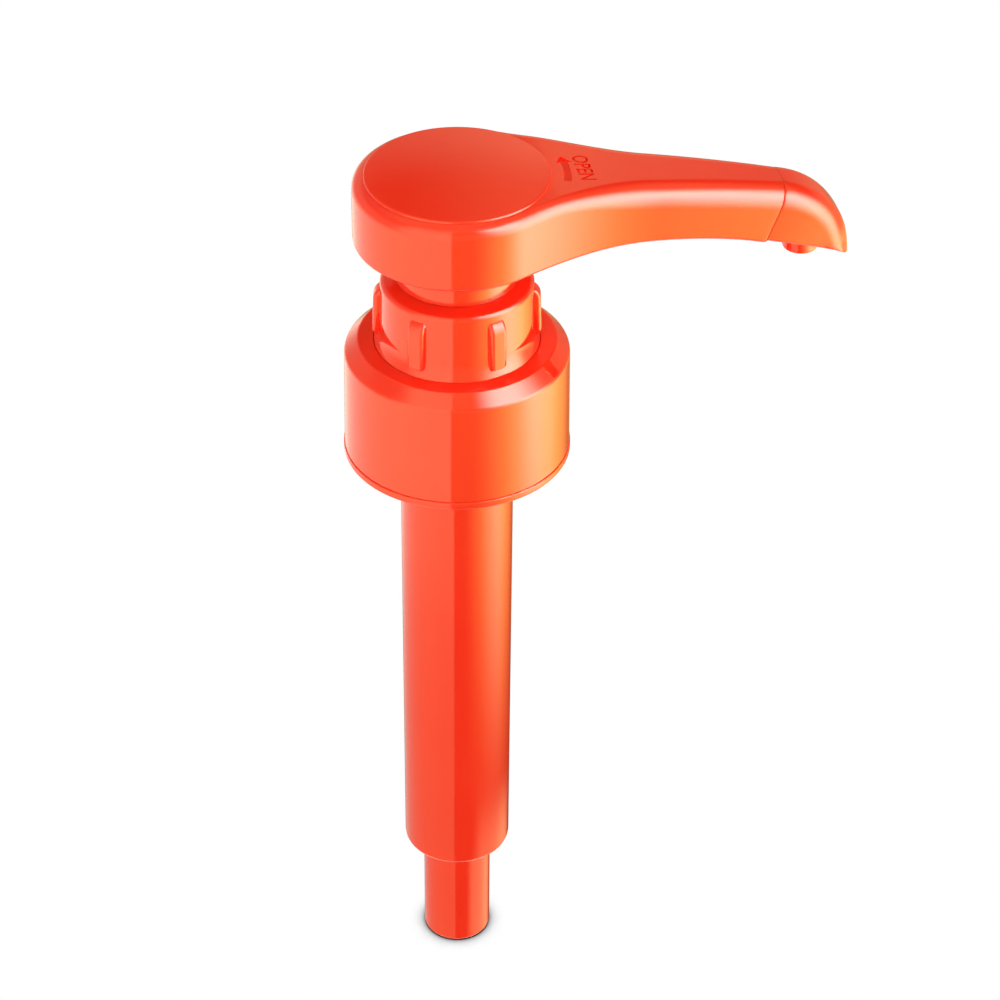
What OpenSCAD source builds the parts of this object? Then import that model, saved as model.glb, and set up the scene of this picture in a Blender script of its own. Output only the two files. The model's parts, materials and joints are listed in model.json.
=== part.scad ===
// Screw-down syrup pump for a 38 mm bottle neck, shown locked down.
// Z runs up the pump's axis, the spout points along +X, and z = 0 is the gasket's sealing face.

/* [Closure] */
// Outside diameter of the flange at the closure's foot
flange_d = 46; // [45.4:0.1:50]
// Thickness of that flange
flange_h = 1.6; // [1:0.1:3]
// Bore of the closure, over the bottle's thread
closure_bore_d = 38.1; // [37.6:0.05:38.6]
// Wall of the closure
closure_wall = 1.5; // [1.2:0.05:1.6]
// Depth from the closure's foot to the gasket's sealing face
neck_depth = 14; // [11:0.5:15]
// Thickness of the plate across the closure's top
closure_plate_t = 2.2; // [1.5:0.1:3]
// Grip ribs that hold the sleeve on the closure
grip_ribs = 24; // [12:4:36]
// Width of one grip rib
grip_rib_w = 1.4; // [0.8:0.1:2]

/* [Sleeve] */
// Outside diameter of the smooth sleeve
sleeve_d = 45; // [44.8:0.05:45.3]
// Growth of the sleeve's radius down to its foot
sleeve_draft = 0.3; // [0:0.05:0.35]
// Wall of the sleeve
sleeve_wall = 1.3; // [1:0.05:1.4]
// Height of the sleeve's upper edge above the closure's foot
sleeve_edge_h = 23.3; // [22.5:0.1:26]
// Rise of the bevel above that edge
bevel_rise = 2.7; // [1.8:0.1:3]
// Diameter of the rim at the bevel's top
rim_d = 39.6; // [38:0.1:41]
// Dip of the rim's flat towards the collar
rim_dip = 0; // [0:0.1:0.8]
// Thickness of the sleeve's top
sleeve_top_t = 1.5; // [1:0.1:1.8]

/* [Cylinder] */
// Bore that the piston runs in
bore_d = 20; // [18:0.1:20.4]
// Wall of the cylinder
tube_wall = 1.55; // [1.2:0.05:1.8]
// Length of the cylinder below the sealing face
tube_drop = 121.1; // [120:0.1:130]
// Thickness of the cylinder's floor
floor_t = 3.1; // [2.5:0.1:4]
// Outside diameter of the foot that takes the dip tube
foot_d = 14.8; // [14.4:0.1:16]
// Length of the foot
foot_len = 27.7; // [22:0.1:32]
// Bore of the dip tube's socket
socket_d = 12; // [11:0.05:12.2]
// Depth of that socket
socket_depth = 20; // [15:0.5:22]
// Inlet hole under the ball
inlet_d = 6; // [5:0.1:6.6]
// Diameter of the cylinder's flange
neck_flange_d = 36.6; // [34:0.1:37.4]
// Thickness of that flange
neck_flange_t = 2; // [1.5:0.1:2.4]
// Outside diameter of the neck above the flange
neck_d = 25.6; // [25:0.1:26]
// Height of the neck above the flange
neck_h = 5.5; // [5:0.1:7]
// Vent hole in the cylinder's wall
vent_d = 1.6; // [1:0.1:2]
// Radius on the cylinder's lower edge
tube_round = 1.2; // [0.6:0.1:1.4]
// Radius on the foot's lower edge
foot_round = 0.8; // [0.4:0.1:1]

/* [Gasket] */
// Thickness of the neck gasket
gasket_t = 1.5; // [1:0.1:2.5]

/* [Collar] */
// Outside diameter at the collar's foot
collar_foot_d = 33; // [32.6:0.1:33.8]
// Outside diameter at the collar's lip
collar_lip_d = 30.3; // [29.9:0.1:31]
// Radius on the collar's upper edge
lip_round = 0.9; // [0.4:0.1:1.2]
// Bore lower down, behind the lock thread
thread_bore_d = 26.6; // [26.2:0.1:27]
// Height of the lip above the sleeve's rim
collar_rise = 13.8; // [13:0.1:16]
// Thickness of the collar's top
lip_t = 2; // [1.5:0.1:3]
// Thickness of the ledge that holds the stem guide
ledge_t = 1.5; // [1.2:0.1:2]
// Grip ribs round the collar
collar_ribs = 6; // [4:1:8]
// Width of one collar rib
collar_rib_w = 3.5; // [2.5:0.1:4.5]
// Diameter over the top ends of the collar's ribs
collar_rib_d = 32.6; // [32:0.1:32.9]
// Diameter over the feet of the collar's ribs
collar_rib_foot_d = 33.5; // [33:0.1:34]
// Height of the ribs' feet above the sleeve's rim
collar_rib_lift = 0.8; // [0.4:0.1:2]
// Distance of the ribs' top ends below the lip
collar_rib_drop = 1.5; // [1.2:0.1:5]
// Turn of the first rib from the spout
collar_rib_turn = 50; // [0:1:59]

/* [Plunger] */
// Travel of the plunger, from locked down to fully up
stroke = 64; // [50:0.5:66]
// Outside diameter of the stem
stem_d = 11; // [10.4:0.1:11.4]
// Bore of the stem
stem_bore_d = 8; // [7.6:0.1:8.4]
// Length of the piston, from spring seat to stop face
piston_len = 13; // [11:0.1:16]
// Thickness of the piston's flanges
piston_flange_t = 1.7; // [1.2:0.1:2.2]
// Diameter of the piston's flanges
piston_flange_d = 17.6; // [17:0.1:17.8]
// Diameter of the hub inside the seal
piston_hub_d = 14; // [13.2:0.1:14.6]
// Depth of the grooves that form the seal's lips
lip_groove = 3; // [1.5:0.1:4]
// Length of the retainer's plug inside the stem
plug_len = 9.5; // [7:0.1:12]
// Bore through the retainer
retainer_bore_d = 4.4; // [3.8:0.1:4.8]

/* [Guide] */
// Length of the guide's barrel below the top of the neck
guide_len = 22.7; // [18:0.1:24]
// Thickness of the guide's flange
guide_flange_t = 1.5; // [1.2:0.1:2]
// Outside diameter of the stem wiper
wiper_d = 16; // [15:0.1:16.6]
// Depth of the wiper's seat
wiper_depth = 2.5; // [2:0.1:4]
// Wall round the guide's stem bore and round its barrel
guide_wall = 1.5; // [1.2:0.05:1.7]

/* [Valves] */
// Diameter of the inlet ball
inlet_ball_d = 8; // [7.4:0.1:8.2]
// Diameter of the outlet ball
outlet_ball_d = 5.8; // [5.4:0.1:6.2]
// Lift of the inlet ball
inlet_lift = 3; // [2:0.1:4]
// Lift of the outlet ball
outlet_lift = 3; // [2:0.1:4]
// Wall of the ball cage
cage_wall = 1.4; // [1:0.1:1.6]
// Thickness of the cage's flange and roof
cage_t = 2; // [1.5:0.1:2.5]
// Openings round the cage
cage_slots = 3; // [3:1:5]
// Width of one cage opening
cage_slot_w = 3; // [2:0.1:4]

/* [Spring] */
// Diameter of the spring wire
wire_d = 1.3; // [1:0.05:1.4]
// Mean diameter of the spring's curls
spring_d = 15; // [14.6:0.1:15.6]
// Curls of the spring
spring_curls = 9; // [6:1:11]

/* [Head] */
// Diameter of the round head
head_d = 40.6; // [38:0.1:44]
// Height of the head's side, from its lower edge to its top
head_h = 13.7; // [12.5:0.1:16]
// Gap between the collar's lip and the head's lower edge
head_gap = 9.3; // [8:0.1:12]
// Diameter of the raised thumb pad
pad_d = 36; // [34:0.1:37]
// Rise of the thumb pad at its edge
pad_rise = 0.4; // [0.2:0.05:0.8]
// Crown of the thumb pad at its middle
pad_crown = 0.75; // [0.1:0.05:1.2]
// Radius of the head's shoulder
shoulder_r = 2.7; // [2:0.1:4]
// Radius of the lower edge
lower_edge_r = 0.8; // [0.4:0.1:1]
// Wall of the head
head_wall = 2.2; // [1.6:0.1:2.6]
// Diameter of the band under the head
band_d = 24.4; // [23.6:0.1:25]
// Drop of that band below the head
band_drop = 8.5; // [7:0.1:9]
// Diameter of the skirt that carries the lock thread
skirt_d = 22.8; // [22.2:0.1:23.2]
// Wall of the skirt
skirt_wall = 1.7; // [1.2:0.1:1.8]
// Outside diameter of the boss round the stem
boss_d = 15.2; // [14.4:0.1:16]
// Length of stem held in the boss
boss_grip = 20; // [16:0.5:24]

/* [Spout] */
// Reach from the axis to the middle of the tip's seam
seam_reach = 62.1; // [58:0.1:68]
// Length of the tip from the seam's middle to the nose
nose_len = 16.6; // [15:0.1:18]
// Lean of the seam from upright, in degrees
seam_lean = 20; // [10:1:25]
// Half width of the arm at the seam
arm_half_w = 6.5; // [5.8:0.1:7.2]
// Widening of each side per millimetre back from the seam
arm_taper = 0.097; // [0.06:0.001:0.11]
// Plan radius of the fillets between head and arm
arm_fillet_r = 68; // [45:0.5:90]
// Fall of the arm's top from the head to the seam
top_drop = 6.6; // [5:0.1:7.5]
// Curve of that fall, where 1 is straight
top_curve = 1.4; // [1:0.05:1.8]
// Reach at which the top starts to fall
top_fall_start = 17; // [12:0.5:19]
// Reach of the highest point of the underside
arch_reach = 28.5; // [24:0.5:32]
// Rise of the underside there, above the head's lower edge
arch_rise = 0.3; // [0:0.1:1]
// Drop of the underside from there to the seam
arch_drop = 4.55; // [3.5:0.05:5]
// Radius of the arm's upper edges
arm_edge_r = 4.4; // [3.5:0.1:5]
// Drop of the nose below the seam's middle
nose_drop = 11.8; // [11:0.1:13]
// Syrup channel through the arm
channel_d = 6.4; // [5.6:0.1:6.8]
// Height of the channel over the seam's middle
channel_lift = 0.5; // [0:0.1:1]
// Fall of the channel, in degrees
channel_fall = 6.5; // [5:0.5:7]
// Outside diameter of the tip's spigot
spigot_d = 8.2; // [7.8:0.1:8.6]
// Length of that spigot
spigot_len = 6; // [4:0.5:8]
// Outside diameter of the nozzle
nozzle_d = 7; // [6:0.1:7.6]
// Bore of the nozzle
nozzle_bore_d = 4.6; // [4:0.1:5]
// Reach of the nozzle past the seam's middle
nozzle_reach = 7.1; // [6:0.1:7.5]
// Drop of the nozzle's mouth below the tip
nozzle_drop = 3.1; // [1.5:0.1:4]

/* [Clearances] */
// Running gap of a shaft in its hole
running_gap = 0.05; // [0.02:0.01:0.1]
// Gap between pieces that are pressed together
press_gap = 0.02; // [0.01:0.01:0.05]
// Gap between flat faces that turn past each other
face_gap = 0.2; // [0.1:0.05:0.3]
// Gap round the collar, inside the sleeve's hole
collar_gap = 0.2; // [0.15:0.05:0.5]
// Gap between the collar's top and the head's thread that passes it
lip_gap = 0.25; // [0.15:0.05:0.4]
// Gap between the skirt's end and the collar's ledge
skirt_gap = 0.6; // [0.3:0.1:1]
// Gap left under a ball and at the ends of the seal
seat_gap = 0.1; // [0.05:0.05:0.15]
// Gap left at the end of a stroke
stop_gap = 0.3; // [0.1:0.1:0.5]

/* [Hidden] */
$fn = 64;

shell_colour = [0.95, 0.27, 0.13];
inner_colour = [0.93, 0.92, 0.89];
seal_colour = [0.85, 0.86, 0.86];
steel_colour = [0.72, 0.73, 0.75];
glass_colour = [0.60, 0.68, 0.66];

// Sink of one solid into the next where they are fused, and overshoot of a cut
fuse = 0.5;

// Heights up the closure, sleeve and collar
foot_z = -neck_depth;
flange_top = foot_z + flange_h;
neck_base = gasket_t + neck_flange_t;
plate_z = neck_base + face_gap;
plate_top = plate_z + closure_plate_t;
collar_z = plate_top + face_gap;
neck_top = neck_base + neck_h;
ledge_z = neck_top + guide_flange_t;
ledge_top = ledge_z + ledge_t;
edge_z = foot_z + sleeve_edge_h;
rim_z = edge_z + bevel_rise;
lip_z = rim_z + collar_rise;

// Radii
closure_r = closure_bore_d / 2;
sleeve_inner_r = sleeve_d / 2 - sleeve_wall;
collar_hole_r = collar_foot_d / 2 + collar_gap;
bore_r = bore_d / 2;
tube_r = bore_r + tube_wall;
stem_r = stem_d / 2;
stem_hole_r = stem_r + running_gap;
head_r = head_d / 2;

// Heights down the cylinder
tube_z = -tube_drop;
floor_z = tube_z + floor_t;
foot_end = tube_z - foot_len;
inlet_rest = floor_z + sqrt(pow(inlet_ball_d / 2, 2) - pow(inlet_d / 2, 2)) + seat_gap;
cage_r = inlet_ball_d / 2 + stop_gap;
cage_roof = inlet_rest + inlet_ball_d / 2 + inlet_lift + stop_gap;
spring_z = floor_z + cage_t;

// Heights of the piston, set back from the guide by the stroke
guide_end = neck_top - guide_len;
piston_top = guide_end - stop_gap - stroke;
piston_z = piston_top - piston_len;
seal_z = piston_z + piston_flange_t;
core_z = piston_top - piston_flange_t;
plug_top = seal_z + plug_len;
outlet_rest = plug_top + sqrt(pow(outlet_ball_d / 2, 2) - pow(retainer_bore_d / 2, 2)) + seat_gap;
ball_stop = outlet_rest + outlet_ball_d / 2 + outlet_lift + stop_gap;

// Heights of the head
head_z = lip_z + head_gap;
head_top = head_z + head_h;
band_z = head_z - band_drop;
skirt_z = ledge_top + skirt_gap;

// Side view of the arm, as heights over the reach u
function ease(t) = let (c = max(0, min(1, t))) c * c * (3 - 2 * c);
function top_at(u) =
    head_top - top_drop * pow(max(0, u - top_fall_start) / (seam_reach - top_fall_start), top_curve);
arch_z = head_z + arch_rise;
arch_curve = arch_drop / pow(seam_reach - arch_reach, 2);
function under_at(u) = u > arch_reach
    ? arch_z - arch_curve * pow(u - arch_reach, 2)
    : head_z + arch_rise * ease((u - arch_reach / 2) / (arch_reach / 2));
function edge_at(u) = shoulder_r + (arm_edge_r - shoulder_r) * ease((u - top_fall_start) / (head_r));
seam_low = under_at(seam_reach);
seam_high = top_at(seam_reach);
seam_mid = (seam_low + seam_high) / 2;
function seam_at(z) = seam_reach + tan(seam_lean) * (z - seam_mid);

// Heights of the channel and of the stem's socket below it
channel_z = seam_mid + channel_lift + seam_reach * tan(channel_fall);
stem_top = channel_z - channel_d / 2 - head_wall / 2;
boss_z = stem_top - boss_grip;

// Plan view: the head's circle, a fillet arc and a straight side, each with its outward normal
side_q = sqrt(1 + arm_taper * arm_taper);
side_b = arm_half_w + arm_taper * seam_reach + arm_fillet_r * side_q;
far_r = head_r + arm_fillet_r;
fillet_u = (side_b * arm_taper + sqrt(pow(side_b * arm_taper, 2)
    - side_q * side_q * (side_b * side_b - far_r * far_r))) / (side_q * side_q);
fillet_v = side_b - arm_taper * fillet_u;
fillet_turn = atan2(fillet_v, fillet_u);
fillet_from = 180 + fillet_turn;
fillet_to = 270 - atan(arm_taper);
side_u = fillet_u - arm_fillet_r * arm_taper / side_q;
head_steps = 20;
fillet_steps = 8;
side_steps = 8;
half_steps = head_steps + fillet_steps + side_steps;
function half_outline(j) = j <= head_steps
    ? let (a = 180 - (180 - fillet_turn) * j / head_steps) [head_r * cos(a), head_r * sin(a), cos(a), sin(a), 0]
    : j <= head_steps + fillet_steps
    ? let (a = fillet_from + (fillet_to - fillet_from) * (j - head_steps) / fillet_steps)
        [fillet_u + arm_fillet_r * cos(a), fillet_v + arm_fillet_r * sin(a), -cos(a), -sin(a), 0]
    : let (t = (j - head_steps - fillet_steps) / side_steps, u = side_u + (seam_reach - side_u) * t)
        [u, arm_half_w + arm_taper * (seam_reach - u), 0, 1, t];

// Rings of the head's skin, from the lower edge round to the top
lower_turns = [0, 45, 90];
upper_turns = [0, 18, 36, 54, 72, 90];
rings = len(lower_turns) + len(upper_turns);
function skin_point(k, j, side) =
    let (o = half_outline(j),
        low = k < len(lower_turns),
        turn = low ? lower_turns[k] : upper_turns[k - len(lower_turns)],
        r = low ? lower_edge_r : edge_at(o[0]),
        inset = low ? r * (1 - sin(turn)) : r * (1 - cos(turn)),
        u = o[0] - o[2] * inset,
        z = low ? under_at(u) + r * (1 - cos(turn)) : top_at(u) - r * (1 - sin(turn)))
    [u + o[4] * (seam_at(z) - seam_reach), side * (o[1] - o[3] * inset), z];

// The head and arm's outer form as one closed skin
module head_skin() {
    loop = 2 * half_steps;
    count = loop + 1;
    top = (rings - 1) * count;
    points = [for (k = [0:rings - 1]) for (i = [0:loop])
        skin_point(k, abs(i - half_steps), i < half_steps ? -1 : 1)];
    sides = [for (k = [0:rings - 2]) for (i = [0:loop - 1]) for (half = [0, 1])
        let (a = k * count + i, b = a + 1, c = b + count, d = a + count) half == 0 ? [a, b, c] : [a, c, d]];
    lids = [for (i = [0:half_steps - 1]) for (half = [0:(i < half_steps - 1 ? 1 : 0)]) for (level = [0, 1])
        let (a = i, b = i + 1, c = loop - i - 1, d = loop - i, f = half == 0 ? [a, b, d] : [b, c, d])
        level == 0 ? [f[2], f[1], f[0]] : [for (p = f) p + top]];
    end = [for (k = [0:rings - 2]) for (half = [0, 1])
        let (a = k * count, b = a + count, c = b + loop, d = a + loop) half == 0 ? [a, b, c] : [a, c, d]];
    polyhedron(points, concat(sides, lids, end), convexity = 6);
}

// Sections of the tip, from the seam round to the nose
tip_steps = 12;
corner_steps = 6;
nose_u = seam_reach + nose_len;
nose_z = seam_mid - nose_drop;
nose_lip = 3;
tip_base_end = nose_u - nose_lip;
crown_bend = 9;
nose_share = 0.7;
edge_share_w = 0.95;
edge_share_h = 0.9;
foot_share_h = 0.1;
function mix(a, b, t) = a + (b - a) * t;
function bend(p, t) = pow(1 - t, 3) * p[0] + 3 * t * pow(1 - t, 2) * p[1] + 3 * t * t * (1 - t) * p[2]
    + pow(t, 3) * p[3];
crown_start = [seam_at(seam_high), seam_high];
crown = [crown_start, crown_start + crown_bend * [cos(seam_lean / 2), -sin(seam_lean / 2)],
    [nose_u - fuse, nose_z + crown_bend], [nose_u, nose_z]];
function tip_base(t) = t == 0
    ? [seam_at(seam_low), seam_low]
    : let (u = mix(seam_at(seam_low), tip_base_end, t)) [u, under_at(u)];
function corner(c, r, from, steps) = [for (n = [0:steps])
    let (a = from - 90 * n / steps) [c[0] + r[0] * cos(a), c[1] + r[1] * sin(a)]];
function tip_section(t) =
    let (base = tip_base(t),
        tip = bend(crown, t),
        h = norm(tip - base),
        e = (tip - base) / h,
        w = mix(arm_half_w, arm_half_w * nose_share, t * t),
        r = [min(arm_edge_r, w * edge_share_w), min(arm_edge_r, h * edge_share_h)],
        s = min(lower_edge_r, h * foot_share_h),
        flat = concat(corner([s - w, s], [s, s], 270, 2), corner([r[0] - w, h - r[1]], r, 180, corner_steps),
            corner([w - r[0], h - r[1]], r, 90, corner_steps), corner([w - s, s], [s, s], 0, 2)))
    [for (p = flat) [base[0] + e[0] * p[1], p[0], base[1] + e[1] * p[1]]];

// The tip's outer form, lofted through its sections
module tip_skin() {
    loop = 2 * (corner_steps + 1) + 6;
    points = [for (i = [0:tip_steps]) for (p = tip_section(i / tip_steps)) p];
    sides = [for (i = [0:tip_steps - 1]) for (m = [0:loop - 1]) for (half = [0, 1])
        let (n = (m + 1) % loop, a = i * loop + m, b = i * loop + n, c = b + loop, d = a + loop)
        half == 0 ? [a, b, c] : [a, c, d]];
    last = tip_steps * loop;
    caps = [for (m = [1:loop - 2]) for (end = [0, 1])
        end == 0 ? [m + 1, m, 0] : [last, last + m, last + m + 1]];
    polyhedron(points, concat(sides, caps), convexity = 4);
}

// A tube along the pump's axis
module ring(outer, inner, low, high) {
    translate([0, 0, low])
        difference() {
            cylinder(r = outer, h = high - low);
            translate([0, 0, -fuse]) cylinder(r = inner, h = high - low + 2 * fuse);
        }
}

// A solid disc along the pump's axis
module disc(r, low, high) {
    translate([0, 0, low]) cylinder(r = r, h = high - low);
}

// A disc whose lower edge is rounded
module round_foot(r, low, high, edge) {
    rotate_extrude()
        union() {
            translate([0, low]) square([r - edge, high - low]);
            translate([0, low + edge]) square([r, high - low - edge]);
            intersection() {
                translate([r - edge, low + edge]) circle(r = edge);
                translate([r - edge, low]) square(edge);
            }
        }
}

// Places its children along the arm's channel, with +Z towards the tip
module along_channel(from) {
    translate([from * cos(channel_fall), 0, channel_z - from * sin(channel_fall)])
        rotate([0, 90 + channel_fall, 0]) children();
}

module closure_cap() {
    wall_r = closure_r + closure_wall;
    rib_reach = sqrt(pow(sleeve_inner_r - press_gap, 2) - pow(grip_rib_w / 2, 2));
    color(shell_colour)
    union() {
        ring(wall_r, closure_r, foot_z, plate_top);
        ring(wall_r, neck_d / 2 + 2 * face_gap, plate_z, plate_top);
        ring(flange_d / 2, closure_r, foot_z, flange_top);
        for (i = [0:grip_ribs - 1])
            rotate(360 * i / grip_ribs)
                translate([wall_r - fuse, -grip_rib_w / 2, flange_top - fuse])
                    cube([rib_reach - wall_r + fuse, grip_rib_w, plate_z - flange_top]);
    }
}

module cap_sleeve() {
    outer_r = sleeve_d / 2;
    rim_r = rim_d / 2;
    dip_z = rim_z - rim_dip;
    color(shell_colour)
    rotate_extrude()
        polygon([[sleeve_inner_r, flange_top], [outer_r + sleeve_draft, flange_top], [outer_r, edge_z],
            [rim_r, rim_z], [collar_hole_r, dip_z], [collar_hole_r, dip_z - sleeve_top_t],
            [rim_r - sleeve_wall / 2, rim_z - sleeve_top_t], [sleeve_inner_r, edge_z - sleeve_top_t / 2]]);
}

module cylinder_tube() {
    color(shell_colour)
    difference() {
        union() {
            round_foot(tube_r, tube_z, gasket_t + fuse, tube_round);
            round_foot(foot_d / 2, foot_end, tube_z + fuse, foot_round);
            disc(neck_flange_d / 2, gasket_t, neck_base);
            disc(neck_d / 2, gasket_t, neck_top);
        }
        disc(bore_r, floor_z, neck_top + fuse);
        disc(inlet_d / 2, foot_end, floor_z + fuse);
        disc(socket_d / 2, foot_end - fuse, foot_end + socket_depth);
        translate([0, 0, guide_end - 2 * vent_d]) rotate([-90, 0, 0]) cylinder(d = vent_d, h = tube_r + fuse);
    }
}

module neck_gasket() {
    color(seal_colour)
    ring(neck_flange_d / 2, tube_r + running_gap, 0, gasket_t);
}

module lock_collar() {
    foot_r = collar_foot_d / 2;
    lip_r = collar_lip_d / 2;
    rib_low = rim_z + collar_rib_lift;
    rib_high = lip_z - collar_rib_drop;
    color(shell_colour)
    difference() {
        union() {
            disc(foot_r, collar_z, rim_z);
            translate([0, 0, rim_z])
                cylinder(r1 = foot_r, r2 = lip_r, h = lip_z - lip_round - rim_z);
            rotate_extrude()
                union() {
                    translate([0, lip_z - 2 * lip_round]) square([lip_r - lip_round, 2 * lip_round]);
                    translate([lip_r - lip_round, lip_z - lip_round]) circle(r = lip_round);
                }
            for (i = [0:collar_ribs - 1])
                rotate(collar_rib_turn + 360 * i / collar_ribs)
                    collar_rib(rib_low, rib_high);
        }
        disc(neck_d / 2 + press_gap, collar_z - fuse, ledge_z);
        disc(stem_r + head_wall / 2, ledge_z - fuse, ledge_top + fuse);
        disc(thread_bore_d / 2, ledge_top, lip_z - lip_t);
        disc(band_d / 2 + lip_gap, lip_z - lip_t - fuse, lip_z + fuse);
    }
}

// One grip rib of the collar, with a rounded top, leaning a little with the sloping wall
module collar_rib(low, high) {
    out_r = collar_rib_d / 2;
    foot_r = collar_rib_foot_d / 2;
    root_r = thread_bore_d / 2 + fuse;
    edge = collar_rib_w / 4;
    round_r = out_r - root_r;
    intersection() {
        rotate_extrude()
            union() {
                polygon([[root_r, low], [foot_r, low], [out_r, high - round_r], [root_r, high - round_r]]);
                intersection() {
                    translate([root_r, high - round_r]) circle(r = round_r);
                    translate([root_r, high - round_r]) square(round_r);
                }
            }
        rotate([90, 0, 90])
            linear_extrude(foot_r + fuse)
                union() {
                    translate([-collar_rib_w / 2, low]) square([collar_rib_w, high - low - edge]);
                    translate([edge - collar_rib_w / 2, low]) square([collar_rib_w - 2 * edge, high - low]);
                    for (side = [-1, 1])
                        translate([side * (collar_rib_w / 2 - edge), high - edge]) circle(r = edge);
                }
    }
}

module stem_guide() {
    barrel_r = bore_r - running_gap;
    color(inner_colour)
    difference() {
        union() {
            disc(barrel_r, guide_end, ledge_z);
            disc(neck_d / 2, neck_top, ledge_z);
        }
        disc(stem_hole_r, guide_end - fuse, ledge_z + fuse);
        disc(wiper_d / 2 + press_gap, ledge_z - wiper_depth, ledge_z + fuse);
        ring(barrel_r - guide_wall, stem_hole_r + guide_wall, guide_end - fuse, neck_base);
    }
}

module stem_wiper() {
    lip = (wiper_d / 2 - stem_hole_r) / 3;
    color(seal_colour)
    difference() {
        ring(wiper_d / 2, stem_hole_r, ledge_z - wiper_depth, ledge_z - press_gap);
        ring(wiper_d / 2 - lip, stem_hole_r + lip, ledge_z - wiper_depth / 2, ledge_z + fuse);
    }
}

module ball_cage() {
    outer_r = cage_r + cage_wall;
    color(inner_colour)
    difference() {
        union() {
            disc(bore_r - running_gap, floor_z, floor_z + cage_t);
            disc(outer_r, floor_z, cage_roof + cage_t);
        }
        disc(cage_r, floor_z - fuse, cage_roof);
        disc(inlet_d / 2, cage_roof - fuse, cage_roof + cage_t + fuse);
        for (i = [0:cage_slots - 1])
            rotate(360 * i / cage_slots)
                translate([0, -cage_slot_w / 2, floor_z + cage_t])
                    cube([outer_r + fuse, cage_slot_w, cage_roof - floor_z - cage_t]);
    }
}

module inlet_ball() {
    color(glass_colour)
    translate([0, 0, inlet_rest]) sphere(d = inlet_ball_d);
}

module outlet_ball() {
    color(glass_colour)
    translate([0, 0, outlet_rest]) sphere(d = outlet_ball_d);
}

// The spring's wire as one unbroken tube, with a straight stub of one wire diameter at each end
curl_rings = 8;
wire_sides = 6;
spring_low = spring_z + wire_d / 2 + seat_gap;
spring_high = piston_z - wire_d / 2 - seat_gap;
spring_pitch = (spring_high - spring_low) / spring_curls;
wire_steps = spring_curls * curl_rings;
function helix(t) = let (a = 360 * t / curl_rings)
    [spring_d / 2 * cos(a), spring_d / 2 * sin(a), spring_low + spring_pitch * t / curl_rings];
function heading(t) = let (a = 360 * t / curl_rings) [-sin(a), cos(a), 0];
function wire_centre(t) = t < 0 ? helix(0) - wire_d * heading(0)
    : t > wire_steps ? helix(wire_steps) + wire_d * heading(wire_steps) : helix(t);
function wire_ring(t) =
    let (a = 360 * max(0, min(wire_steps, t)) / curl_rings, c = wire_centre(t))
    [for (n = [0:wire_sides - 1]) let (b = 360 * n / wire_sides)
        c + wire_d / 2 * [cos(b) * cos(a), cos(b) * sin(a), sin(b)]];
spring_gap = min([for (t = [0:wire_steps - curl_rings]) for (s = [-2:2])
    t + curl_rings + s <= wire_steps ? norm(helix(t) - helix(t + curl_rings + s)) - wire_d : wire_d]);

module return_spring() {
    echo(least_gap_between_curls = spring_gap);
    last = wire_steps + 2;
    points = [for (t = [-1:wire_steps + 1]) for (p = wire_ring(t)) p];
    sides = [for (i = [0:last - 1]) for (n = [0:wire_sides - 1]) for (half = [0, 1])
        let (m = (n + 1) % wire_sides, a = i * wire_sides + n, b = i * wire_sides + m,
            c = b + wire_sides, d = a + wire_sides)
        half == 0 ? [a, b, c] : [a, c, d]];
    end = last * wire_sides;
    caps = [for (n = [1:wire_sides - 2]) for (half = [0, 1])
        half == 0 ? [n + 1, n, 0] : [end, end + n, end + n + 1]];
    color(steel_colour)
    polyhedron(points, concat(sides, caps), convexity = 10);
}

module piston_seal() {
    outer_r = bore_r - running_gap;
    inner_r = piston_hub_d / 2 + running_gap;
    low = seal_z + seat_gap;
    high = core_z - seat_gap;
    middle = (low + high) / 2;
    lip = (outer_r - inner_r) / 3;
    color(seal_colour)
    difference() {
        ring(outer_r, inner_r, low, high);
        ring(outer_r - lip, inner_r + lip, low - fuse, low + lip_groove);
        ring(outer_r - lip, inner_r + lip, high - lip_groove, high + fuse);
        ring(outer_r + fuse, outer_r - lip / 2, middle - lip, middle + lip);
    }
}

module piston_core() {
    color(inner_colour)
    difference() {
        union() {
            disc(piston_hub_d / 2, seal_z + press_gap, piston_top);
            disc(piston_flange_d / 2, core_z, piston_top);
        }
        disc(stem_r + press_gap, seal_z - fuse, piston_top + fuse);
    }
}

module piston_retainer() {
    color(inner_colour)
    difference() {
        union() {
            disc(piston_flange_d / 2, piston_z, seal_z);
            disc(stem_bore_d / 2 - press_gap, piston_z, plug_top);
        }
        disc(retainer_bore_d / 2, piston_z - fuse, plug_top + fuse);
    }
}

module stem() {
    color(shell_colour)
    union() {
        ring(stem_r, stem_bore_d / 2, seal_z + press_gap, stem_top);
        ring(stem_bore_d / 2 + fuse, retainer_bore_d / 2, ball_stop, ball_stop + piston_flange_t);
    }
}

// The arm's solid strip that carries the channel across the head's hollow
module channel_rib() {
    translate([0, -channel_d / 2 - head_wall, head_z - fuse])
        cube([head_r, channel_d + 2 * head_wall, head_h]);
}

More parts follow.
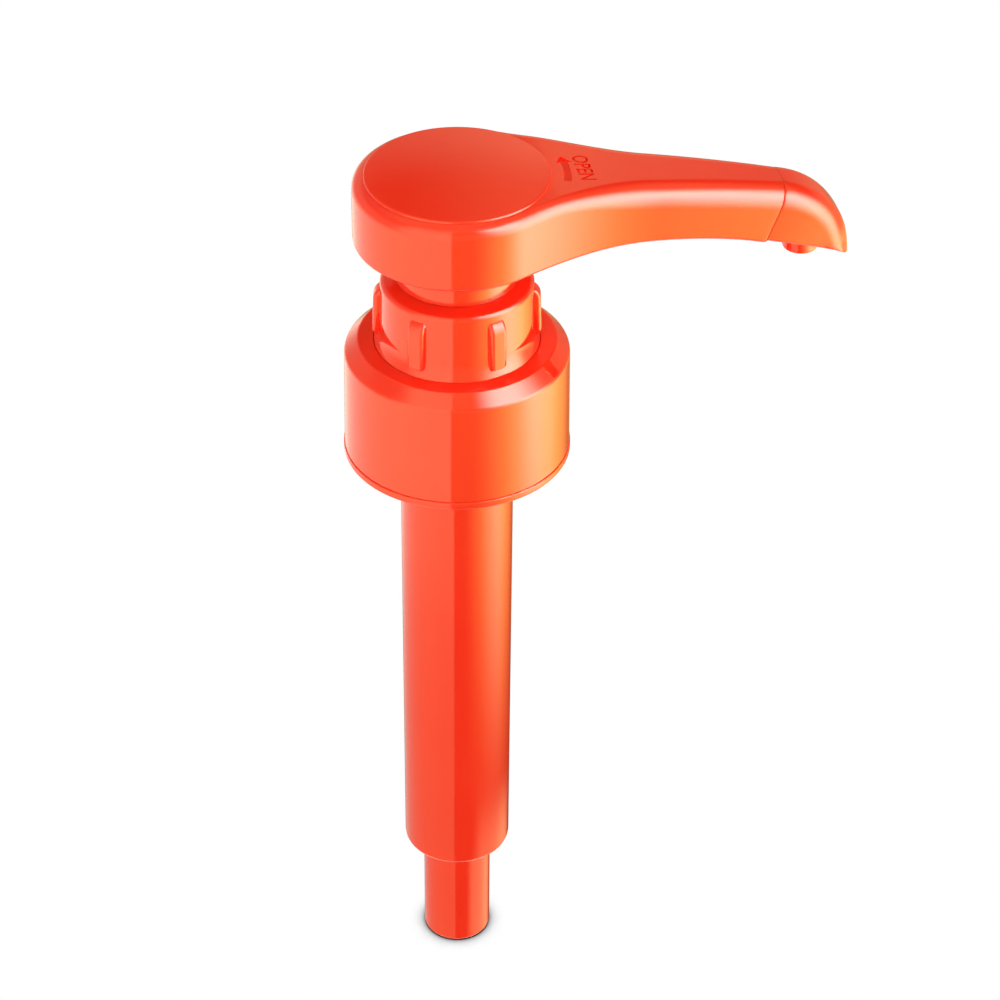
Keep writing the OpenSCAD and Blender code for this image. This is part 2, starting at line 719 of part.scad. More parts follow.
module head() {
    pad_r = pad_d / 2;
    crown_r = (pad_r * pad_r + pad_crown * pad_crown) / (2 * pad_crown);
    hollow_top = head_top - head_wall;
    color(shell_colour)
    difference() {
        union() {
            head_skin();
            intersection() {
                disc(pad_r, head_top - fuse, head_top + pad_rise + pad_crown);
                translate([0, 0, head_top + pad_rise + pad_crown - crown_r]) sphere(r = crown_r, $fn = 200);
            }
            disc(band_d / 2, band_z, head_z + lower_edge_r + fuse);
            disc(skirt_d / 2, skirt_z, band_z + fuse);
        }
        difference() {
            ring(head_r - head_wall, band_d / 2 - head_wall / 2, head_z - fuse, hollow_top);
            channel_rib();
            disc(band_d / 2, band_z, head_z + head_wall);
        }
        ring(skirt_d / 2 - skirt_wall, boss_d / 2, skirt_z - fuse, channel_z - channel_d / 2 - 2 * head_wall);
        disc(boss_d / 2 + fuse, skirt_z - fuse, boss_z);
        disc(stem_r + press_gap, boss_z - fuse, stem_top);
        disc(stem_bore_d / 2, stem_top - fuse, channel_z);
        along_channel(0) cylinder(d = channel_d, h = seam_reach + nose_len);
        along_channel(seam_reach - spigot_len) cylinder(d = spigot_d + 2 * press_gap, h = nose_len);
    }
}

module spout_tip() {
    nozzle_u = seam_reach + nozzle_reach;
    mouth_z = under_at(nozzle_u) - nozzle_drop;
    throat_z = channel_z - nozzle_u * tan(channel_fall);
    color(shell_colour)
    difference() {
        union() {
            tip_skin();
            translate([nozzle_u, 0, mouth_z]) cylinder(d = nozzle_d, h = throat_z - mouth_z);
            along_channel(seam_reach - spigot_len + press_gap) cylinder(d = spigot_d, h = spigot_len + fuse);
        }
        along_channel(seam_reach - spigot_len - fuse)
            cylinder(d = channel_d, h = spigot_len + nozzle_reach + fuse);
        translate([nozzle_u, 0, mouth_z - fuse]) cylinder(d = nozzle_bore_d, h = throat_z - mouth_z + fuse);
    }
}

closure_cap();
cap_sleeve();
cylinder_tube();  // cylinder
neck_gasket();
lock_collar();
stem_guide();
stem_wiper();
ball_cage();
inlet_ball();
return_spring();
piston_seal();
piston_core();
piston_retainer();
outlet_ball();
stem();
head();
spout_tip();
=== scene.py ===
"""Looks of a screw-down syrup pump in its locked pose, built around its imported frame."""

import json
import math

import bpy
from mathutils import Matrix, Vector


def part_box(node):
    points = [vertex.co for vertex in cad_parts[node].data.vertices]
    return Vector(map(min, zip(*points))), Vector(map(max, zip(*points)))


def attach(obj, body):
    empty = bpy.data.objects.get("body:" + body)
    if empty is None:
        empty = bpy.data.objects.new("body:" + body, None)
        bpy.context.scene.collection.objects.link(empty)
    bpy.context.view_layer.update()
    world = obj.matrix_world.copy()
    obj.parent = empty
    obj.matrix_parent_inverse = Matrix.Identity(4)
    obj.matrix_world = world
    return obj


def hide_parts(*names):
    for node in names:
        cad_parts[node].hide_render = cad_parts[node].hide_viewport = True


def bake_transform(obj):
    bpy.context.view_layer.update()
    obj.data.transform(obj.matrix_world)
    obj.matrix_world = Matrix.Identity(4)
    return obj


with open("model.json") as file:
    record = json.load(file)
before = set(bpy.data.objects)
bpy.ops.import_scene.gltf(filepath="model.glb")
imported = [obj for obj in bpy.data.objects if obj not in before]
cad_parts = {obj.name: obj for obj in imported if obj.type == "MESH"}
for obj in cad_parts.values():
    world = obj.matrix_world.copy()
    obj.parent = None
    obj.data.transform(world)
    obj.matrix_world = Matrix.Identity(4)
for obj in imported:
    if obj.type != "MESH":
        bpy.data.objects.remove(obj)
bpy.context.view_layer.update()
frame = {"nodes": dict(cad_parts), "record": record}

MM = 0.001


# Sizes that the frame gives

def heights(node):
    """Lowest and highest height of a node."""
    low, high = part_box(node)
    return low.z, high.z


def radius(node):
    """Radius of a node round the pump's axis; the +X side, where the arm is, doesn't count."""
    low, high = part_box(node)
    return max(-low.x, -low.y, high.y)


CLOSURE_FOOT, PLATE_TOP = heights("closure_cap")
FLANGE_TOP, RIM_Z = heights("cap_sleeve")
FOOT_END, NECK_TOP = heights("cylinder")
GASKET_TOP = heights("neck_gasket")[1]
COLLAR_Z, LIP_Z = heights("lock_collar")
GUIDE_END, LEDGE_Z = heights("stem_guide")
FLOOR_Z = heights("ball_cage")[0]
STEM_TOP = heights("stem")[1]
SKIRT_Z, CROWN_Z = heights("head")
SPRING_LOW, SPRING_HIGH = heights("return_spring")
FLANGE_R = radius("closure_cap")
SLEEVE_FOOT_R = radius("cap_sleeve")
NECK_FLANGE_R = radius("cylinder")
NECK_R = radius("stem_guide")
CAGE_FLANGE_R = radius("ball_cage")
STEM_R = radius("stem")
SPRING_R = radius("return_spring")
HEAD_R = radius("head")
NOSE_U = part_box("spout_tip")[1].x
NOSE_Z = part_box("spout_tip")[0].z

# Clearances
RUNNING_GAP = 0.05 * MM
SEAT_GAP = 0.02 * MM
CUT_CLEAR = 1 * MM
OVERLAP = 0.5 * MM

# Roundings of moulded edges
HAIR = 0.05 * MM
THIN = 0.1 * MM
CRISP = 0.2 * MM
FINE = 0.25 * MM
EASED = 0.3 * MM
MILD = 0.35 * MM
SOFT = 0.4 * MM
ROUND = 0.5 * MM
BROAD = 0.6 * MM


# Modelling helpers

TURN_STEPS = 160
ARC_STEP = math.radians(15)
ARC_SHARE = 0.49
SMOOTH_ANGLE = math.radians(32)
SMOOTH_WEIGHT = 80
MERGE_GAP = 1e-7


def ease(t):
    """Smooth rise from 0 to 1."""
    t = min(max(t, 0), 1)
    return t * t * (3 - 2 * t)


def mix(a, b, t):
    """Value that goes from a to b while t goes from 0 to 1."""
    return a + (b - a) * t


def deselect():
    """Leave edit mode with nothing selected."""
    if bpy.context.object and bpy.context.object.mode != "OBJECT":
        bpy.ops.object.mode_set(mode="OBJECT")
    bpy.ops.object.select_all(action="DESELECT")


def take(piece):
    """Make a piece the only one selected."""
    deselect()
    piece.select_set(True)
    bpy.context.view_layer.objects.active = piece
    return piece


def edit(piece):
    """Open a piece in edit mode with all of it selected."""
    take(piece)
    bpy.ops.object.mode_set(mode="EDIT")
    bpy.ops.mesh.select_all(action="SELECT")


def tidy_mesh(piece):
    """Merge doubles and point the faces outwards."""
    edit(piece)
    bpy.ops.mesh.remove_doubles(threshold=MERGE_GAP)
    bpy.ops.mesh.normals_make_consistent(inside=False)
    bpy.ops.object.mode_set(mode="OBJECT")
    return piece


def rounded(corners):
    """Outline through (radius, height, rounding) corners, with an arc at each rounded one."""
    outline = []
    for i, corner in enumerate(corners):
        here = Vector(corner[:2])
        rounding = corner[2] if len(corner) > 2 else 0
        if rounding == 0:
            outline.append(here)
            continue
        back = Vector(corners[i - 1][:2]) - here
        ahead = Vector(corners[(i + 1) % len(corners)][:2]) - here
        half = back.angle(ahead) / 2
        room = min(ARC_SHARE * back.length, ARC_SHARE * ahead.length)
        reach = min(rounding / math.tan(half), room)
        rounding = reach * math.tan(half)
        inward = (back.normalized() + ahead.normalized()).normalized()
        middle = here + inward * rounding / math.sin(half)
        first = here + back.normalized() * reach - middle
        last = here + ahead.normalized() * reach - middle
        sweep = first.angle_signed(last)
        steps = max(2, round(abs(sweep) / ARC_STEP))
        for n in range(steps + 1):
            arm = first.copy()
            arm.rotate(Matrix.Rotation(-sweep * n / steps, 2))
            outline.append(middle + arm)
    return outline


def turn(name, corners, solid=False):
    """Turn an outline round the pump's axis, extruding a ring from point to point.
    The outline closes on itself, or its two ends are filled where the shape is solid."""
    outline = rounded(corners)
    start = outline[0]
    deselect()
    bpy.ops.mesh.primitive_circle_add(
        vertices=TURN_STEPS, radius=start.x, location=(0, 0, start.y))
    piece = bpy.context.object
    piece.name = piece.data.name = name
    bpy.ops.object.transform_apply(location=True)
    edit(piece)
    for here, ahead in zip(outline, outline[1:]):
        rise = (0, 0, ahead.y - here.y)
        bpy.ops.mesh.extrude_edges_move(TRANSFORM_OT_translate={"value": rise})
        widen = ahead.x / here.x
        bpy.ops.transform.resize(value=(widen, widen, 1), center_override=(0, 0, ahead.y))
    bpy.ops.mesh.select_all(action="DESELECT")
    bpy.ops.mesh.select_mode(type="EDGE")
    bpy.ops.mesh.select_non_manifold()
    if solid:
        bpy.ops.mesh.fill_holes(sides=0)
    else:
        bpy.ops.mesh.bridge_edge_loops()
    return tidy_mesh(piece)


def rod(name, r, low, high, spot=(0, 0)):
    """A round bar along Z, to cut a hole or to add."""
    deselect()
    bpy.ops.mesh.primitive_cylinder_add(
        vertices=TURN_STEPS // 2, radius=r, depth=high - low,
        location=(*spot, (low + high) / 2))
    bpy.ops.object.transform_apply(location=True)
    bpy.context.object.name = name
    return bpy.context.object


def block(name, low, high):
    """A plain block between two corners, used to cut."""
    deselect()
    middle = [(a + b) / 2 for a, b in zip(low, high)]
    bpy.ops.mesh.primitive_cube_add(size=1, location=middle)
    bpy.context.object.scale = [b - a for a, b in zip(low, high)]
    bpy.ops.object.transform_apply()
    bpy.context.object.name = name
    return bpy.context.object


def mesh_piece(name, points, faces):
    """A piece made from computed points and faces."""
    mesh = bpy.data.meshes.new(name)
    mesh.from_pydata(points, [], faces)
    piece = bpy.data.objects.new(name, mesh)
    bpy.context.scene.collection.objects.link(piece)
    return tidy_mesh(piece)


def lofted(name, rings):
    """A closed skin through rings of points, with a flat face at both ends."""
    count = len(rings[0])
    last = (len(rings) - 1) * count
    faces = [tuple(range(count)), tuple(range(last, last + count))]
    for start in range(0, last, count):
        for k in range(count):
            here, ahead = start + k, start + (k + 1) % count
            faces.append((here, ahead, ahead + count, here + count))
    return mesh_piece(name, [spot for ring in rings for spot in ring], faces)


def bevel_edges(piece, wanted, width, steps):
    """Round those edges of a piece that are wanted, judged by their two ends."""
    edit(piece)
    bpy.ops.mesh.select_all(action="DESELECT")
    bpy.ops.mesh.select_mode(type="EDGE")
    bpy.ops.object.mode_set(mode="OBJECT")
    corners = piece.data.vertices
    for edge in piece.data.edges:
        edge.select = wanted(*(corners[v].co for v in edge.vertices))
    bpy.ops.object.mode_set(mode="EDIT")
    bpy.ops.mesh.bevel(offset=width, segments=steps, affect="EDGES")
    bpy.ops.object.mode_set(mode="OBJECT")
    return piece


def ring_of(shape, count, first):
    """Repeat a shape round the pump's axis, as one mesh."""
    shape.data.transform(Matrix.Rotation(first, 4, "Z"))
    copies = []
    for n in range(1, count):
        twin = shape.copy()
        twin.data = shape.data.copy()
        twin.data.transform(Matrix.Rotation(2 * math.pi * n / count, 4, "Z"))
        bpy.context.scene.collection.objects.link(twin)
        copies.append(twin)
    take(shape)
    for twin in copies:
        twin.select_set(True)
    bpy.ops.object.join()
    return shape


def combine(piece, other, operation, solver="EXACT"):
    """Fuse another shape to a piece, or cut it out of the piece."""
    take(piece)
    join = piece.modifiers.new("join", "BOOLEAN")
    join.operation = operation
    join.solver = solver
    join.object = other
    bpy.ops.object.modifier_apply(modifier=join.name)
    bpy.data.objects.remove(other)
    return piece


def add(piece, *others):
    """Fuse shapes to a piece, one after the other."""
    for other in others:
        combine(piece, other, "UNION")
    return piece


def cut(piece, *others):
    """Cut shapes out of a piece, one after the other."""
    for other in others:
        combine(piece, other, "DIFFERENCE")
    return piece


def finished(piece, slot, node):
    """Smooth a piece that stands for a node and give it its finish."""
    tidy_mesh(piece)
    take(piece)
    bpy.ops.object.shade_smooth_by_angle(angle=SMOOTH_ANGLE)
    even = piece.modifiers.new("even_shading", "WEIGHTED_NORMAL")
    even.keep_sharp = True
    even.weight = SMOOTH_WEIGHT
    bpy.ops.object.modifier_apply(modifier=even.name)
    piece.data.materials.clear()
    piece.data.materials.append(FINISHES[slot])
    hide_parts(node)
    deselect()
    return piece


def hand_in(piece, body, slot, node):
    """Finish a piece and let it ride on its body."""
    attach(finished(piece, slot, node), body)


# Node trees

class Sheet:
    """The node tree of a material or a world, with short ways to build it."""

    def __init__(self, owner):
        owner.use_nodes = True
        self.nodes, self.links = owner.node_tree.nodes, owner.node_tree.links

    def node(self, kind, inputs=(), **settings):
        """A node with its settings; each input is a constant, or the output of another node."""
        made = self.nodes.new(kind)
        for name, value in settings.items():
            setattr(made, name, value)
        for socket, value in dict(inputs).items():
            if isinstance(value, bpy.types.NodeSocket):
                self.links.new(value, made.inputs[socket])
            else:
                made.inputs[socket].default_value = value
        return made

    def math(self, operation, *values):
        """Result of a sum on constants and outputs."""
        return self.node("ShaderNodeMath", enumerate(values), operation=operation).outputs[0]

    def slope(self, value, first, last, low=0.0, high=1.0, run="SMOOTHSTEP"):
        """Change from low to high while a value goes from first to last."""
        return self.node("ShaderNodeMapRange", {
            "Value": value, "From Min": first, "From Max": last, "To Min": low, "To Max": high},
            interpolation_type=run).outputs["Result"]


# Finishes

PATTERN_SPAN = (0.3, 0.7)


class Finish(Sheet):
    """A material of the pump, whose patterns lie in the piece's own Object coordinates."""

    def __init__(self, name):
        self.material = bpy.data.materials.new(name)
        super().__init__(self.material)
        self.shader = self.nodes["Principled BSDF"]
        self.place = self.node("ShaderNodeTexCoord").outputs["Object"]

    def noise(self, scale, detail=3.0, stretch=None):
        """A cloudy pattern, packed closer along an axis where a stretch is given."""
        place = self.place
        if stretch:
            mapping = self.node("ShaderNodeMapping", {"Vector": place, "Scale": stretch})
            place = mapping.outputs["Vector"]
        clouds = {"Vector": place, "Scale": scale, "Detail": detail}
        return self.node("ShaderNodeTexNoise", clouds).outputs["Fac"]

    def feed(self, socket, value):
        """Link an output to the shader."""
        self.links.new(value, self.shader.inputs[socket])

    def tint(self, pattern, first, last):
        """Let the base colour go from first to last with a pattern."""
        ramp = self.node("ShaderNodeValToRGB", {"Fac": pattern})
        for stop, place, colour in zip(ramp.color_ramp.elements, PATTERN_SPAN, (first, last)):
            stop.position = place
            stop.color = (*colour, 1)
        self.feed("Base Color", ramp.outputs["Color"])

    def polish(self, pattern, low, high):
        """Let the roughness go from low to high with a pattern."""
        self.feed("Roughness", self.slope(pattern, *PATTERN_SPAN, low, high, "LINEAR"))

    def skin(self, pattern, strength, depth):
        """Raise the surface a little with a pattern."""
        grain = {"Height": pattern, "Strength": strength, "Distance": depth}
        self.feed("Normal", self.node("ShaderNodeBump", grain).outputs["Normal"])

    def fix(self, **values):
        """Set what is the same all over the surface."""
        for socket, value in values.items():
            self.shader.inputs[socket.replace("_", " ")].default_value = value


def shell_plastic():
    """Glossy orange-red moulded plastic with faint flow marks and a fine skin."""
    finish = Finish("shell_plastic")
    finish.tint(finish.noise(45, 2), (0.90, 0.031, 0.0098), (0.93, 0.035, 0.0112))
    finish.polish(finish.noise(420, 4), 0.05, 0.09)
    finish.skin(finish.noise(1500, 2), 0.02, 0.01 * MM)
    finish.fix(IOR=1.49, Subsurface_Weight=0.4, Subsurface_Radius=(1.0, 0.1, 0.04),
               Subsurface_Scale=2 * MM)
    return finish.material


def inner_plastic():
    """Natural white moulded plastic, matt with a waxy sheen."""
    finish = Finish("inner_plastic")
    finish.tint(finish.noise(90), (0.80, 0.79, 0.75), (0.87, 0.86, 0.83))
    finish.polish(finish.noise(700), 0.36, 0.5)
    finish.skin(finish.noise(2600), 0.08, 0.02 * MM)
    finish.fix(IOR=1.49)
    return finish.material


def seal_rubber():
    """Soft pale seal rubber with a dusty bloom."""
    finish = Finish("seal_rubber")
    finish.tint(finish.noise(160, 5), (0.66, 0.67, 0.67), (0.74, 0.75, 0.74))
    finish.polish(finish.noise(500, 5), 0.55, 0.75)
    finish.skin(finish.noise(3200), 0.15, 0.02 * MM)
    return finish.material


def spring_steel():
    """Drawn steel wire with fine lines round the coil."""
    finish = Finish("spring_steel")
    finish.tint(finish.noise(300, 4), (0.50, 0.51, 0.53), (0.62, 0.63, 0.65))
    lines = finish.noise(900, 4, stretch=(1, 1, 12))
    finish.polish(lines, 0.18, 0.34)
    finish.skin(lines, 0.1, 0.01 * MM)
    finish.fix(Metallic=1.0)
    return finish.material


def ball_glass():
    """Polished greenish glass with a faint unevenness."""
    finish = Finish("ball_glass")
    finish.tint(finish.noise(250), (0.62, 0.71, 0.68), (0.68, 0.76, 0.73))
    finish.polish(finish.noise(400), 0.02, 0.06)
    finish.fix(IOR=1.52, Transmission_Weight=0.9)
    return finish.material


FINISHES = {make.__name__: make() for make in (
    shell_plastic, inner_plastic, seal_rubber, spring_steel, ball_glass)}

for entry in frame["record"]["subparts"]:
    for holder in frame["nodes"][entry["node"]].material_slots:
        holder.material = FINISHES[entry["material_slot"]]


# Threads

THREAD_STEPS = 72
THREAD_RUN_OUT = 9
THREAD_STUB = 0.05
THREAD_SINK = 0.4 * MM
THREAD_BASE = 1.1 * MM
THREAD_CREST = 0.45 * MM
LOCK_PITCH = 4 * MM


def thread(name, root_r, crest_r, low, pitch, turns):
    """A moulded thread ridge along a helix, which runs out into the wall at both ends."""
    buried_r = root_r - math.copysign(THREAD_SINK, crest_r - root_r)
    steps = round(turns * THREAD_STEPS)
    rings = []
    for n in range(steps + 1):
        a = 2 * math.pi * n / THREAD_STEPS
        z = low + pitch * n / THREAD_STEPS
        top_r = mix(buried_r, crest_r, ease(min(n, steps - n) / THREAD_RUN_OUT + THREAD_STUB))
        ridge = ((buried_r, -THREAD_BASE), (top_r, -THREAD_CREST),
                 (top_r, THREAD_CREST), (buried_r, THREAD_BASE))
        rings.append([(r * math.cos(a), r * math.sin(a), z + up) for r, up in ridge])
    return lofted(name, rings)


# Cylinder

BORE_R = CAGE_FLANGE_R + RUNNING_GAP
TUBE_R = 11.55 * MM
TUBE_Z = -121.1 * MM
TUBE_ROUND = 1.2 * MM
FOOT_R = 7.4 * MM
FOOT_ROUND = 0.8 * MM
SOCKET_R = 6 * MM
SOCKET_DEPTH = 20 * MM
INLET_R = 3 * MM
NECK_FLANGE_T = 2 * MM
VENT_R = 0.8 * MM
VENT_DROP = 4 * VENT_R


def cylinder():
    """The long tube with its foot, its neck flange and a vent hole at the back."""
    flange_top = GASKET_TOP + NECK_FLANGE_T
    socket_top = FOOT_END + SOCKET_DEPTH
    piece = turn("cylinder_tube", [
        (SOCKET_R, FOOT_END, MILD), (FOOT_R, FOOT_END, FOOT_ROUND), (FOOT_R, TUBE_Z, SOFT),
        (TUBE_R, TUBE_Z, TUBE_ROUND), (TUBE_R, GASKET_TOP), (NECK_FLANGE_R, GASKET_TOP, CRISP),
        (NECK_FLANGE_R, flange_top, EASED), (NECK_R, flange_top, EASED),
        (NECK_R, NECK_TOP, EASED), (BORE_R, NECK_TOP, EASED), (BORE_R, FLOOR_Z),
        (INLET_R, FLOOR_Z, EASED), (INLET_R, socket_top), (SOCKET_R, socket_top, EASED)])
    vent = rod("vent", VENT_R, 0, TUBE_R + CUT_CLEAR)
    vent.data.transform(Matrix.Rotation(-math.pi / 2, 4, "X"))
    vent.data.transform(Matrix.Translation((0, 0, GUIDE_END - VENT_DROP)))
    hand_in(cut(piece, vent), "pump_body", "shell_plastic", "cylinder")


# Closure cap

CLOSURE_BORE_R = 19.05 * MM
CLOSURE_WALL = 1.5 * MM
PLATE_T = 2.2 * MM
PLATE_HOLE_R = 13.2 * MM
NECK_CREST_R = 18.1 * MM
NECK_PITCH = 4.23 * MM
NECK_TURNS = 1.6
NECK_START = 3.2 * MM


def closure_cap():
    """The threaded closure, of which the flange shows below the sleeve."""
    wall_r = CLOSURE_BORE_R + CLOSURE_WALL
    plate_z = PLATE_TOP - PLATE_T
    piece = turn("closure_cap_shell", [
        (CLOSURE_BORE_R, CLOSURE_FOOT, ROUND), (FLANGE_R, CLOSURE_FOOT, MILD),
        (FLANGE_R, FLANGE_TOP, EASED), (wall_r, FLANGE_TOP), (wall_r, PLATE_TOP, SOFT),
        (PLATE_HOLE_R, PLATE_TOP, CRISP), (PLATE_HOLE_R, plate_z, CRISP),
        (CLOSURE_BORE_R, plate_z, ROUND)])
    add(piece, thread("neck_thread", CLOSURE_BORE_R, NECK_CREST_R,
                      CLOSURE_FOOT + NECK_START, NECK_PITCH, NECK_TURNS))
    hand_in(piece, "closure", "shell_plastic", "closure_cap")


# Cap sleeve

SLEEVE_WALL = 1.3 * MM
SLEEVE_R = SLEEVE_FOOT_R - 0.3 * MM
SLEEVE_EDGE_Z = 9.3 * MM
SLEEVE_ROUND = 1.2 * MM
SLEEVE_RIM_R = 19.8 * MM
SLEEVE_HOLE_R = 16.58 * MM
SLEEVE_TOP_T = 1.5 * MM


def cap_sleeve():
    """The smooth outer sleeve with its bevelled rim."""
    inner_r = SLEEVE_R - SLEEVE_WALL
    top_floor = RIM_Z - SLEEVE_TOP_T
    piece = turn("cap_sleeve_shell", [
        (inner_r, FLANGE_TOP, CRISP), (SLEEVE_FOOT_R, FLANGE_TOP, CRISP),
        (SLEEVE_R, SLEEVE_EDGE_Z, SLEEVE_ROUND), (SLEEVE_RIM_R, RIM_Z, BROAD),
        (SLEEVE_HOLE_R, RIM_Z, CRISP), (SLEEVE_HOLE_R, top_floor, CRISP),
        (SLEEVE_RIM_R - SLEEVE_WALL / 2, top_floor, EASED),
        (inner_r, SLEEVE_EDGE_Z - SLEEVE_TOP_T / 2, EASED)])
    hand_in(piece, "closure", "shell_plastic", "cap_sleeve")


# Lock collar

COLLAR_R = 16.5 * MM
FLARE_R = 15.4 * MM
FLARE_H = 2.4 * MM
FLARE_ROUND = 5 * MM
LIP_R = 15.15 * MM
LIP_ROUND = 1.2 * MM
LIP_HOLE_R = 12 * MM
LIP_CROWN = 0.77 * MM
LIP_T = 2 * MM
THREAD_BORE_R = 13.3 * MM
COLLAR_CREST_R = 12.5 * MM
COLLAR_TURNS = 1.5
COLLAR_START = 2.2 * MM
LEDGE_T = 1.5 * MM
LEDGE_HOLE_R = 6.6 * MM
COLLAR_RIBS = 6
COLLAR_RIB_TURN = math.radians(50)
COLLAR_RIB_W = 3.5 * MM
COLLAR_RIB_R = 16.5 * MM
COLLAR_RIB_FOOT_R = 16.75 * MM
COLLAR_RIB_ROOT_R = THREAD_BORE_R + 0.4 * MM
COLLAR_RIB_LIFT = 1.1 * MM
COLLAR_RIB_TOE = 0.9 * MM
COLLAR_RIB_DROP = 1.5 * MM
COLLAR_RIB_BENDS = 10
COLLAR_RIB_ROUND = 0.75 * MM
COLLAR_RIB_ROUND_STEPS = 6


def collar_rib():
    """One grip rib with a round top, a slanted toe and soft sides, leaning a little outwards."""
    low, high = RIM_Z + COLLAR_RIB_LIFT, LIP_Z - COLLAR_RIB_DROP
    top_round = COLLAR_RIB_R - COLLAR_RIB_ROOT_R
    bends = [math.pi / 2 * n / COLLAR_RIB_BENDS for n in range(COLLAR_RIB_BENDS + 1)]
    outline = [(COLLAR_RIB_ROOT_R, low), (COLLAR_RIB_FOOT_R - COLLAR_RIB_TOE, low),
               (COLLAR_RIB_FOOT_R, low + COLLAR_RIB_TOE)]
    outline += [(COLLAR_RIB_ROOT_R + top_round * math.cos(a),
                 high - top_round * (1 - math.sin(a))) for a in bends]
    sides = (-COLLAR_RIB_W / 2, COLLAR_RIB_W / 2)
    rib = lofted("collar_rib", [[(r, side, z) for r, z in outline] for side in sides])
    return bevel_edges(rib, lambda first, last: first.y * last.y > 0,
                       COLLAR_RIB_ROUND, COLLAR_RIB_ROUND_STEPS)


def lock_collar():
    """The ribbed collar with a flared foot, a rounded lip and the lock thread in its bore."""
    neck_hole_r = NECK_R + SEAT_GAP
    ledge_top = LEDGE_Z + LEDGE_T
    lip_floor = LIP_Z - LIP_T
    piece = turn("lock_collar_ring", [
        (neck_hole_r, COLLAR_Z, CRISP), (COLLAR_R, COLLAR_Z, CRISP), (COLLAR_R, RIM_Z, THIN),
        (FLARE_R, RIM_Z + FLARE_H, FLARE_ROUND), (LIP_R, LIP_Z, LIP_ROUND),
        (LIP_HOLE_R, LIP_Z + LIP_CROWN, HAIR), (LIP_HOLE_R, lip_floor, CRISP),
        (THREAD_BORE_R, lip_floor, CRISP), (THREAD_BORE_R, ledge_top, EASED),
        (LEDGE_HOLE_R, ledge_top, CRISP), (LEDGE_HOLE_R, LEDGE_Z), (neck_hole_r, LEDGE_Z)])
    ribs = ring_of(collar_rib(), COLLAR_RIBS, COLLAR_RIB_TURN)
    combine(piece, ribs, "UNION", "MANIFOLD")
    add(piece, thread("lock_thread_in_collar", THREAD_BORE_R, COLLAR_CREST_R,
                      ledge_top + COLLAR_START, LOCK_PITCH, COLLAR_TURNS))
    hand_in(piece, "pump_body", "shell_plastic", "lock_collar")


cylinder()
closure_cap()
cap_sleeve()
lock_collar()


# Form of the head, its arm and the tip; u is the reach from the axis along the spout

PAD_R = 18 * MM
PAD_RISE = 0.4 * MM
PAD_CROWN = 0.75 * MM
PAD_DRAFT = 0.05 * MM
PAD_ROUND = 0.38 * MM
HEAD_H = 13.7 * MM
HEAD_TOP = CROWN_Z - PAD_RISE - PAD_CROWN
HEAD_LOW = HEAD_TOP - HEAD_H
SHOULDER_R = 2.7 * MM
LOWER_EDGE_R = 0.8 * MM
NOSE_LEN = 16.6 * MM
NOSE_SETBACK = 3 * MM
NOSE_SHARE = 0.7
SEAM_REACH = NOSE_U - NOSE_LEN
SEAM_LEAN = math.radians(20)
SEAM_ROUND = 0.16 * MM
SEAM_ROUND_STEPS = 2
SEAM_NEAR = 1e-6
ARM_HALF_W = 6.5 * MM
ARM_TAPER = 0.097
ARM_FILLET_R = 68 * MM
ARM_EDGE_R = 4.4 * MM
TOP_DROP = 6.6 * MM
TOP_CURVE = 1.4
FALL_START = 17 * MM
ARCH_REACH = 28.5 * MM
ARCH_RISE = 0.3 * MM
ARCH_DROP = 4.55 * MM
CROWN_BEND = 9 * MM
TIP_WIDE_SHARE = 0.95
TIP_TALL_SHARE = 0.9
TIP_FOOT_SHARE = 0.1
PAD_STEPS = 12
HEAD_STEPS = 56
FILLET_STEPS = 24
SIDE_STEPS = 24
LOWER_STEPS = 5
UPPER_STEPS = 12
TIP_STEPS = 40
CORNER_STEPS = 12


def top_line(u):
    """Height of the arm's top."""
    fall = max(0, u - FALL_START) / (SEAM_REACH - FALL_START)
    return HEAD_TOP - TOP_DROP * fall ** TOP_CURVE


def under_line(u):
    """Height of the arm's underside."""
    if u > ARCH_REACH:
        share = (u - ARCH_REACH) / (SEAM_REACH - ARCH_REACH)
        return HEAD_LOW + ARCH_RISE - ARCH_DROP * share ** 2
    return HEAD_LOW + ARCH_RISE * ease(2 * u / ARCH_REACH - 1)


def edge_round(u):
    """Radius of the upper edge, from the head's shoulder to the arm's edge."""
    return mix(SHOULDER_R, ARM_EDGE_R, ease((u - FALL_START) / HEAD_R))


SEAM_LOW = under_line(SEAM_REACH)
SEAM_HIGH = top_line(SEAM_REACH)
SEAM_MID = (SEAM_LOW + SEAM_HIGH) / 2


def seam_line(z):
    """Reach of the leaning seam at a height."""
    return SEAM_REACH + math.tan(SEAM_LEAN) * (z - SEAM_MID)


